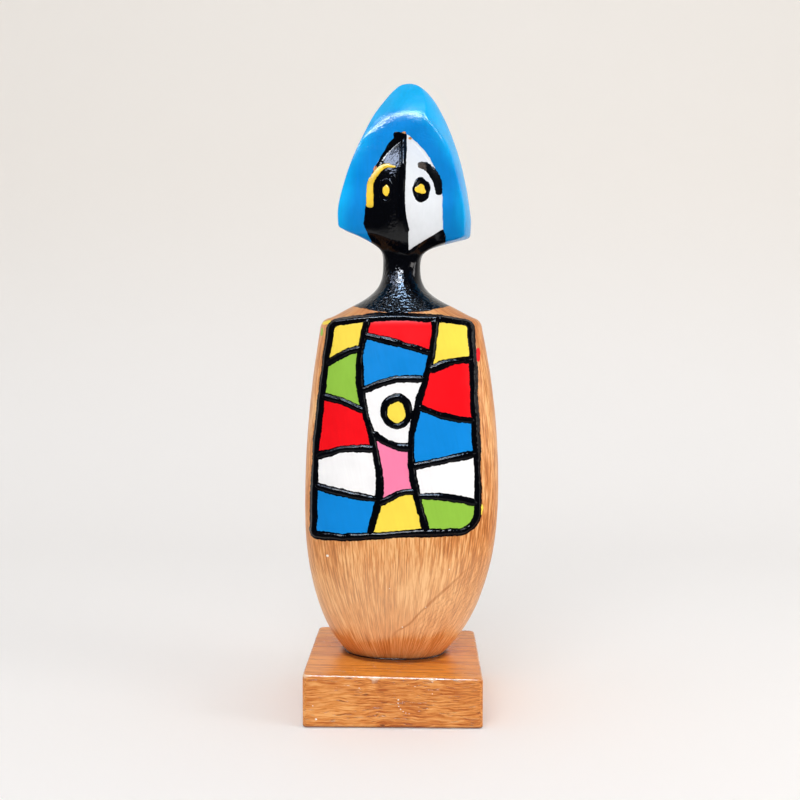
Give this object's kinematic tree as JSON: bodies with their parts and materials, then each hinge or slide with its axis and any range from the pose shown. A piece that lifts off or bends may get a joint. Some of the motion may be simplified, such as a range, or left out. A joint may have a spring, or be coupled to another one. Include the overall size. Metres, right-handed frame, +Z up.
{
  "type": "wooden totem sculpture",
  "caption": "Carved wooden figure with a barrel body, thin neck and wedge face under a pointed hood, standing on a square wooden plinth.",
  "frame": {"origin": "centre of the plinth's underside, on the surface it stands on", "axes": "+Z up, the figure looks along -Y, +X to the right of someone who faces it"},
  "size_m": [0.1114, 0.098, 0.3572],
  "materials": {
    "plinth_wood": "orange-brown stain under a satin varnish, worn at the edges",
    "figure_wood": "natural wood under a satin varnish",
    "hood_paint": "glossy blue paint laid on by brush",
    "black_paint": "thick glossy black paint",
    "white_paint": "satin white paint laid on by brush",
    "yellow_paint": "satin yellow paint laid on by brush",
    "panel_paint": "satin paints of several colours laid on by brush",
    "glue": "dark glue line under the foot"
  },
  "bodies": {
    "root": {"plinth": "plinth_wood", "figure": "figure_wood"}
  },
  "joints": []
}
